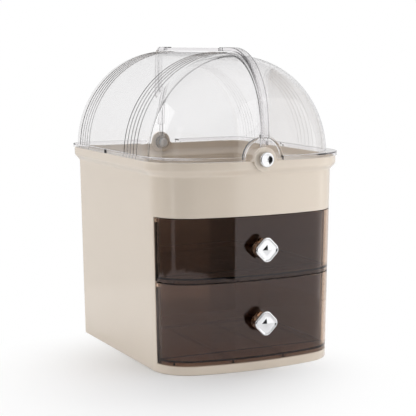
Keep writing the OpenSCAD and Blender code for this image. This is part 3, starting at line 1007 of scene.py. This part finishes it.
def make_lid(name, side, grow, lug, cup, back, sweep, dome):
    """One lid: its wall spun about the pivots from the seam to the flange."""
    rib = dome.rib_height
    ribs = [(*NOSE_LINE, rib)]
    for centre, pitch in RIB_GROUPS:
        for k in range(dome.rib_count):
            s = centre + ((dome.rib_count - 1) / 2 - k) * pitch
            ribs.append((s + rib, s - rib, rib))
    outer = [(PIN_R, lug), (LUG_R, lug)]
    outer += arc(cup - MM, lug + MM, MM, -90, 0, 4)
    r, s = dome_line(grow, cup, ribs)[0]
    outer += [(r, s - 0.6 * MM), (r + 0.2 * MM, s - 0.15 * MM), (r + 0.7 * MM, s - 0.03 * MM)]
    outer += dome_line(grow, RECESS_END, ribs)
    outer += [(RECESS_END, -back), (LUG_R, -back), (PIN_R, -back)]
    inner = [(PIN_R, lug - LID_T), (LUG_R, lug - LID_T), (cup + LID_T, lug - LID_T)]
    inner.append(dome_line(grow - LID_T, cup + LID_T)[0])
    inner += dome_line(grow - LID_T, RECESS_END)
    inner += [(RECESS_END, LID_T - back), (LUG_R, LID_T - back), (PIN_R, LID_T - back)]
    start = 90 if side < 0 else 90 + LAP_DEG
    piece = trace(name, swung(outer + inner[::-1], start))
    bpy.ops.mesh.edge_face_add()
    bpy.ops.mesh.delete(type="ONLY_FACE")
    bpy.ops.mesh.select_all(action="SELECT")
    spin(-side * sweep, int(sweep / 1.5))

    def at_pivot(height):
        return abs(height - PIVOT_Z) < NEAR

    def near(v, r, s):
        across, out = abs(abs(v.co.x) - r), abs(-v.co.y - s)
        return at_pivot(v.co.z) and across < NEAR and out < NEAR

    # Round lugs that go all the way about the pin
    for s in (lug, -back):
        inner_s = s - LID_T if s > 0 else s + LID_T
        corners = [(PIN_R, s), (LUG_R, s), (LUG_R, inner_s), (PIN_R, inner_s)]
        select(piece, "VERT", lambda v: any(near(v, *c) for c in corners[1:3]))
        bpy.ops.mesh.edge_face_add()
        select(piece, "VERT", lambda v: any(near(v, *c) for c in corners))
        spin(-side * (360 - start), 36)

    def fill_foot(s, low, high):
        """Fills the wall's end at the pivots' level, at the front (s 1), the back (-1) or
        both (0), from low to high out from the middle."""
        select(
            piece,
            "VERT",
            lambda v: at_pivot(v.co.z)
            and low - 2 * NEAR < v.co.x * side < high + 2 * NEAR
            and (s == 0 or -v.co.y * s > 0),
        )
        bpy.ops.mesh.edge_face_add()

    fill_foot(1, RECESS_END, RECESS_END)
    fill_foot(-1, RECESS_END, RECESS_END)
    fill_foot(1, LUG_R, RECESS_END)
    fill_foot(-1, LUG_R, RECESS_END)
    fill_foot(0, RECESS_END, 1)
    # The part of the wall beyond the recess is drawn down
    select(
        piece,
        "FACE",
        lambda f: abs(f.normal.z) > 0.9
        and len(f.verts) > 40
        and at_pivot(f.calc_center_median().z),
    )
    extrude_by((0, 0, FLANGE_LOW - PIVOT_Z))
    bpy.ops.mesh.select_all(action="SELECT")
    bpy.ops.mesh.remove_doubles(threshold=MERGED)
    bpy.ops.mesh.select_mode(type="EDGE")
    bpy.ops.mesh.select_all(action="DESELECT")
    bpy.ops.mesh.select_non_manifold(extend=False, use_wire=False, use_multi_face=False)
    bpy.ops.mesh.edge_face_add()
    face_outwards()
    bpy.ops.object.mode_set(mode="OBJECT")
    if side < 0:
        combine(piece, make_ridge(dome.ridge_height))
    return combine(piece, make_flange(side, grow))


def section(low, high):
    """Corners of the handle's bar, as (x, out)."""
    half = ARM_W / 2
    return [(-half, low), (half, low), (half, high), (-half, high)]


def turn_about(centre_r, centre_s, degrees, steps):
    """Spins the selected ring about an axis across the handle."""
    centre = (0, -centre_s, PIVOT_Z + centre_r)
    bpy.ops.mesh.spin(steps=steps, angle=-math.radians(degrees), center=centre, axis=(1, 0, 0))


def add_eye(piece, neck, y):
    """Gives an arm of the handle its eye for the pin. The eye's back face is at y."""
    eye = disc("eye", EYE_R, (0, y, PIVOT_Z), EYE_T, along="front")
    combine(eye, neck)
    bore = disc("bore", PIN_R, (0, y + MM, PIVOT_Z), EYE_T + 2 * MM, 48, along="front")
    combine(eye, bore, "DIFFERENCE")
    return combine(piece, eye)


def make_front_arm(edges):
    start = math.degrees(math.asin(ARM_END / (BOW_R + ARM_GAP)))
    tilt = math.degrees(NOSE_TILT)
    a = math.radians(start)
    points = []
    for x, grow in section(ARM_GAP, ARM_GAP + ARM_T):
        r = BOW_R + grow
        points.append((x, -(DOME_FRONT - BOW_R + r * math.cos(a)), PIVOT_Z + r * math.sin(a)))
    piece = trace_face("handle_front", points)
    turn_about(0, DOME_FRONT - BOW_R, -(tilt - start), 8)
    turn_about(DOME_R - NOSE_R, NOSE_S, -(90 - tilt), 40)
    extrude_by((0, NOSE_S - GRIP_FRONT, 0))
    close_up(piece)
    soften(piece, edges.handle, 3, 50)
    half = NECK_W / 2
    front = DOME_FRONT + ARM_GAP + ARM_T - 0.5 * MM
    back = FRONT_EYE - EYE_T
    low, top = PIVOT_Z + NECK_LOW, PIVOT_Z + NECK_TOP
    neck = block("neck", (-half, -front, low), (half, -back, top))
    low, top = low + 0.1 * MM, PIVOT_Z + NECK_END
    combine(neck, block("upright", (-half, -front, low), (half, -DOME_FRONT - ARM_GAP, top)))
    strip = block("strip", (-half, -FRONT_EYE, PIVOT_Z), (half, -back, PIVOT_Z + 18 * MM))
    combine(neck, strip)
    return add_eye(piece, neck, -back)


def make_back_arm(edges):
    low, high = DOME_R + ARM_GAP, DOME_R + ARM_GAP + ARM_T
    corners = [(x, GRIP_BACK, PIVOT_Z + z) for x, z in section(low, high)]
    piece = trace_face("handle_back", corners)
    extrude_by((0, DOME_BACK - HEEL_R - GRIP_BACK, 0))
    turn_about(DOME_R - HEEL_R, HEEL_R - DOME_BACK, -90, 14)
    extrude_by((0, 0, -(DOME_R - HEEL_R - ARM_END)))
    close_up(piece)
    soften(piece, edges.handle, 3, 50)
    half = NECK_W / 2
    top = PIVOT_Z + ARM_END + 4 * MM
    neck = block("neck", (-half, BACK_EYE - EYE_T, PIVOT_Z), (half, BACK_EYE, top))
    soften(neck, 0.5 * MM, 2, 50)
    return add_eye(piece, neck, BACK_EYE)


def make_grip():
    low = PIVOT_Z + DOME_R + ARM_GAP
    high = low + ARM_T - GRIP_DROP
    half = ARM_W / 2
    front, back = -GRIP_FRONT + GRIP_FIT, GRIP_BACK - GRIP_FIT
    piece = block("handle_bar", (-half, front, low), (half, back, high))
    # A shallow finger hollow along the top
    take(piece)
    bpy.ops.object.mode_set(mode="EDIT")
    select(piece, "FACE", lambda f: f.normal.z > 0.9)
    bpy.ops.mesh.inset(thickness=1.6 * MM, depth=0)
    bpy.ops.mesh.inset(thickness=0.5 * MM, depth=-0.35 * MM)
    bpy.ops.object.mode_set(mode="OBJECT")
    return soften(piece, 0.35 * MM, 2, 20)


# ---------- Operators ----------


class ORGANIZER_OT_housing(Operator):
    """Add the moulded body with its rim, ears and drawer opening"""

    bl_idname = "organizer.housing"
    bl_label = "Body"

    def execute(self, context):
        piece = make_housing(context.scene.organizer_edges)
        finish(context, piece, "body", "beige_plastic", ["housing"])
        return {"FINISHED"}


class ORGANIZER_OT_drawers(Operator):
    """Add both smoky drawers"""

    bl_idname = "organizer.drawers"
    bl_label = "Drawers"

    def execute(self, context):
        for level, (z0, z1) in DRAWERS.items():
            node = f"{level}_drawer"
            piece = make_drawer(f"{level}_drawer_tray", z0, z1, context.scene.organizer_edges)
            finish(context, piece, node, "smoke_plastic", [node])
        return {"FINISHED"}


class ORGANIZER_OT_knobs(Operator):
    """Add a diamond knob to each drawer: its stem and its plated face"""

    bl_idname = "organizer.knobs"
    bl_label = "Knobs"

    def execute(self, context):
        edges = context.scene.organizer_edges
        for level, (z0, z1) in DRAWERS.items():
            body = f"{level}_drawer"
            stem = on_drawer(make_knob_stem(f"{level}_stem"), z0, z1)
            finish(context, stem, body, "smoke_plastic", [f"{level}_knob_stem"])
            plate = on_drawer(make_knob_plate(f"{level}_plate", edges), z0, z1)
            finish(context, plate, body, "chrome_trim", [f"{level}_knob_plate"])
        return {"FINISHED"}


class ORGANIZER_OT_lids(Operator):
    """Add the two nested lids of the dome"""

    bl_idname = "organizer.lids"
    bl_label = "Dome lids"

    def execute(self, context):
        dome = context.scene.organizer_dome
        left = make_lid("left_dome", -1, 0.0, LEFT_LUG, CUP_R, DOME_BACK, 90, dome)
        finish(context, left, "left_lid", "clear_plastic", ["left_lid"])
        cup = CUP_R + LID_T + 0.5 * MM
        sweep = 90 + LAP_DEG
        right = make_lid("right_dome", 1, -NESTED, RIGHT_LUG, cup, RIGHT_BACK, sweep, dome)
        finish(context, right, "right_lid", "clear_plastic", ["right_lid"])
        return {"FINISHED"}


class ORGANIZER_OT_handle(Operator):
    """Add the carrying handle: front arm, back arm and grip"""

    bl_idname = "organizer.handle"
    bl_label = "Handle"

    def execute(self, context):
        edges = context.scene.organizer_edges
        for piece, node in (
            (make_front_arm(edges), "handle_front_arm"),
            (make_back_arm(edges), "handle_back_arm"),
            (make_grip(), "handle_grip"),
        ):
            finish(context, piece, "handle", "clear_plastic", [node])
        return {"FINISHED"}


class ORGANIZER_OT_caps(Operator):
    """Add the two plated caps on the pivots"""

    bl_idname = "organizer.caps"
    bl_label = "Pivot caps"

    def execute(self, context):
        front = make_cap("front_pivot_cap", FRONT_EAR + SEAT, True)
        finish(context, front, "body", "chrome_trim", ["front_cap"])
        back = make_cap("back_pivot_cap", BACK_EAR + SEAT, False)
        finish(context, back, "body", "chrome_trim", ["back_cap"])
        return {"FINISHED"}


class ORGANIZER_OT_fittings(Operator):
    """Give the tray, the shelf, the pins, the screws and the washers their materials"""

    bl_idname = "organizer.fittings"
    bl_label = "Tray, shelf and fittings"

    def execute(self, context):
        kinds = {"top_tray": "beige_plastic", "middle_shelf": "smoke_plastic"}
        for name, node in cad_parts.items():
            if not node.hide_render:
                node.data.materials.clear()
                node.data.materials.append(materials(context)[kinds.get(name, "steel")])
        return {"FINISHED"}


def add_lamp(name, place, aim, sides, energy):
    """A rectangular softbox that faces aim."""
    put_down()
    bpy.ops.object.light_add(type="AREA", location=place)
    lamp = bpy.context.object
    lamp.name = name
    lamp.data.shape = "RECTANGLE"
    lamp.data.size, lamp.data.size_y = sides
    lamp.data.energy = energy
    lamp.visible_camera = lamp.visible_transmission = False
    way = Vector(aim) - Vector(place)
    lamp.rotation_euler = way.to_track_quat("-Z", "Y").to_euler()


class ORGANIZER_OT_studio(Operator):
    """Add the floor, the lamps, the world and the camera"""

    bl_idname = "organizer.studio"
    bl_label = "Studio"

    def execute(self, context):
        scene = context.scene
        put_down()
        # The floor's centre sits to the front left of the organizer, so its painted white glow
        # covers the shadow on the right and leaves the shadow at the front left
        bpy.ops.mesh.primitive_plane_add(size=8, location=(-0.12, -0.13, -0.2 * MM))
        floor = context.object
        floor.name = "studio_floor"
        floor.data.materials.append(studio_ground((0.86, 0.86, 0.865), 0.02))
        middle = (0, 0, 0.18)
        add_lamp("overhead", (0.1, 0.1, 1.9), middle, (1.6, 1.6), 20)
        add_lamp("left_box", (-1.65, 0.5, 0.8), middle, (1.1, 1.5), 12)
        add_lamp("corner_card", (-1.45, -0.72, 0.3), middle, (0.3, 1.4), 1)
        add_lamp("right_box", (1.18, -1.08, 0.1), (0, 0, 0.1), (2.04, 2.2), 17)
        add_lamp("right_fill", (1.3, -0.95, 0.45), (0, 0, 0.1), (1.6, 0.8), 6)
        add_lamp("back_box", (0.9, 1.5, 1.1), middle, (1.2, 0.9), 8)
        for name in ("overhead", "back_box", "right_fill"):
            bpy.data.objects[name].visible_glossy = False
        scene.world = studio_world(fill=0.34, high=0.08, front=0.6, mirrored=0.75, dark=0.02)
        bpy.ops.object.camera_add()
        camera = context.object
        camera.name = "studio_camera"
        distance = 1.5769
        focal_px, picture_px, sensor = 1298.637, 416, 36
        azimuth, elevation, roll = 0.44997, 0.12765, -0.00239
        target = Vector((-1.35 * MM, -6.06 * MM, 171.2 * MM))
        flat = math.cos(elevation)
        way = Vector((-math.sin(azimuth) * flat, -math.cos(azimuth) * flat, math.sin(elevation)))
        camera.location = target + way * distance
        camera.rotation_euler = (-way).to_track_quat("-Z", "Y").to_euler()
        turn = Matrix.Rotation(roll, 4, "Z")
        camera.matrix_world = (
            Matrix.Translation(camera.location) @ camera.rotation_euler.to_matrix().to_4x4() @ turn
        )
        camera.data.sensor_width = sensor
        camera.data.lens = focal_px * sensor / picture_px
        camera.data.clip_end = 20
        scene.camera = camera
        scene.view_settings.view_transform = "Standard"
        return {"FINISHED"}


class ORGANIZER_PT_panel(Panel):
    """Organizer tools in the sidebar"""

    bl_idname = "ORGANIZER_PT_panel"
    bl_label = "Makeup Organizer"
    bl_space_type = "VIEW_3D"
    bl_region_type = "UI"
    bl_category = "Organizer"

    def draw(self, context):
        layout = self.layout
        for group in ("organizer_edges", "organizer_dome", "organizer_colours"):
            settings = getattr(context.scene, group)
            for name in settings.__annotations__:
                layout.prop(settings, name)
        for operator in OPERATORS:
            layout.operator(operator.bl_idname)


GROUPS = {
    "organizer_edges": EdgeSizes,
    "organizer_dome": DomeSizes,
    "organizer_colours": Colours,
}
OPERATORS = (
    ORGANIZER_OT_housing,
    ORGANIZER_OT_drawers,
    ORGANIZER_OT_knobs,
    ORGANIZER_OT_lids,
    ORGANIZER_OT_handle,
    ORGANIZER_OT_caps,
    ORGANIZER_OT_fittings,
    ORGANIZER_OT_studio,
)
CLASSES = (*GROUPS.values(), *OPERATORS, ORGANIZER_PT_panel)


def register():
    for made in CLASSES:
        bpy.utils.register_class(made)
    for name, group in GROUPS.items():
        setattr(bpy.types.Scene, name, PointerProperty(type=group))


def unregister():
    for name in GROUPS:
        delattr(bpy.types.Scene, name)
    for made in reversed(CLASSES):
        bpy.utils.unregister_class(made)


def main():
    register()
    put_down()
    bpy.ops.organizer.housing()
    bpy.ops.organizer.drawers()
    bpy.ops.organizer.knobs()
    bpy.ops.organizer.lids()
    bpy.ops.organizer.handle()
    bpy.ops.organizer.caps()
    bpy.ops.organizer.fittings()
    bpy.ops.organizer.studio()


if __name__ == "__main__":
    main()
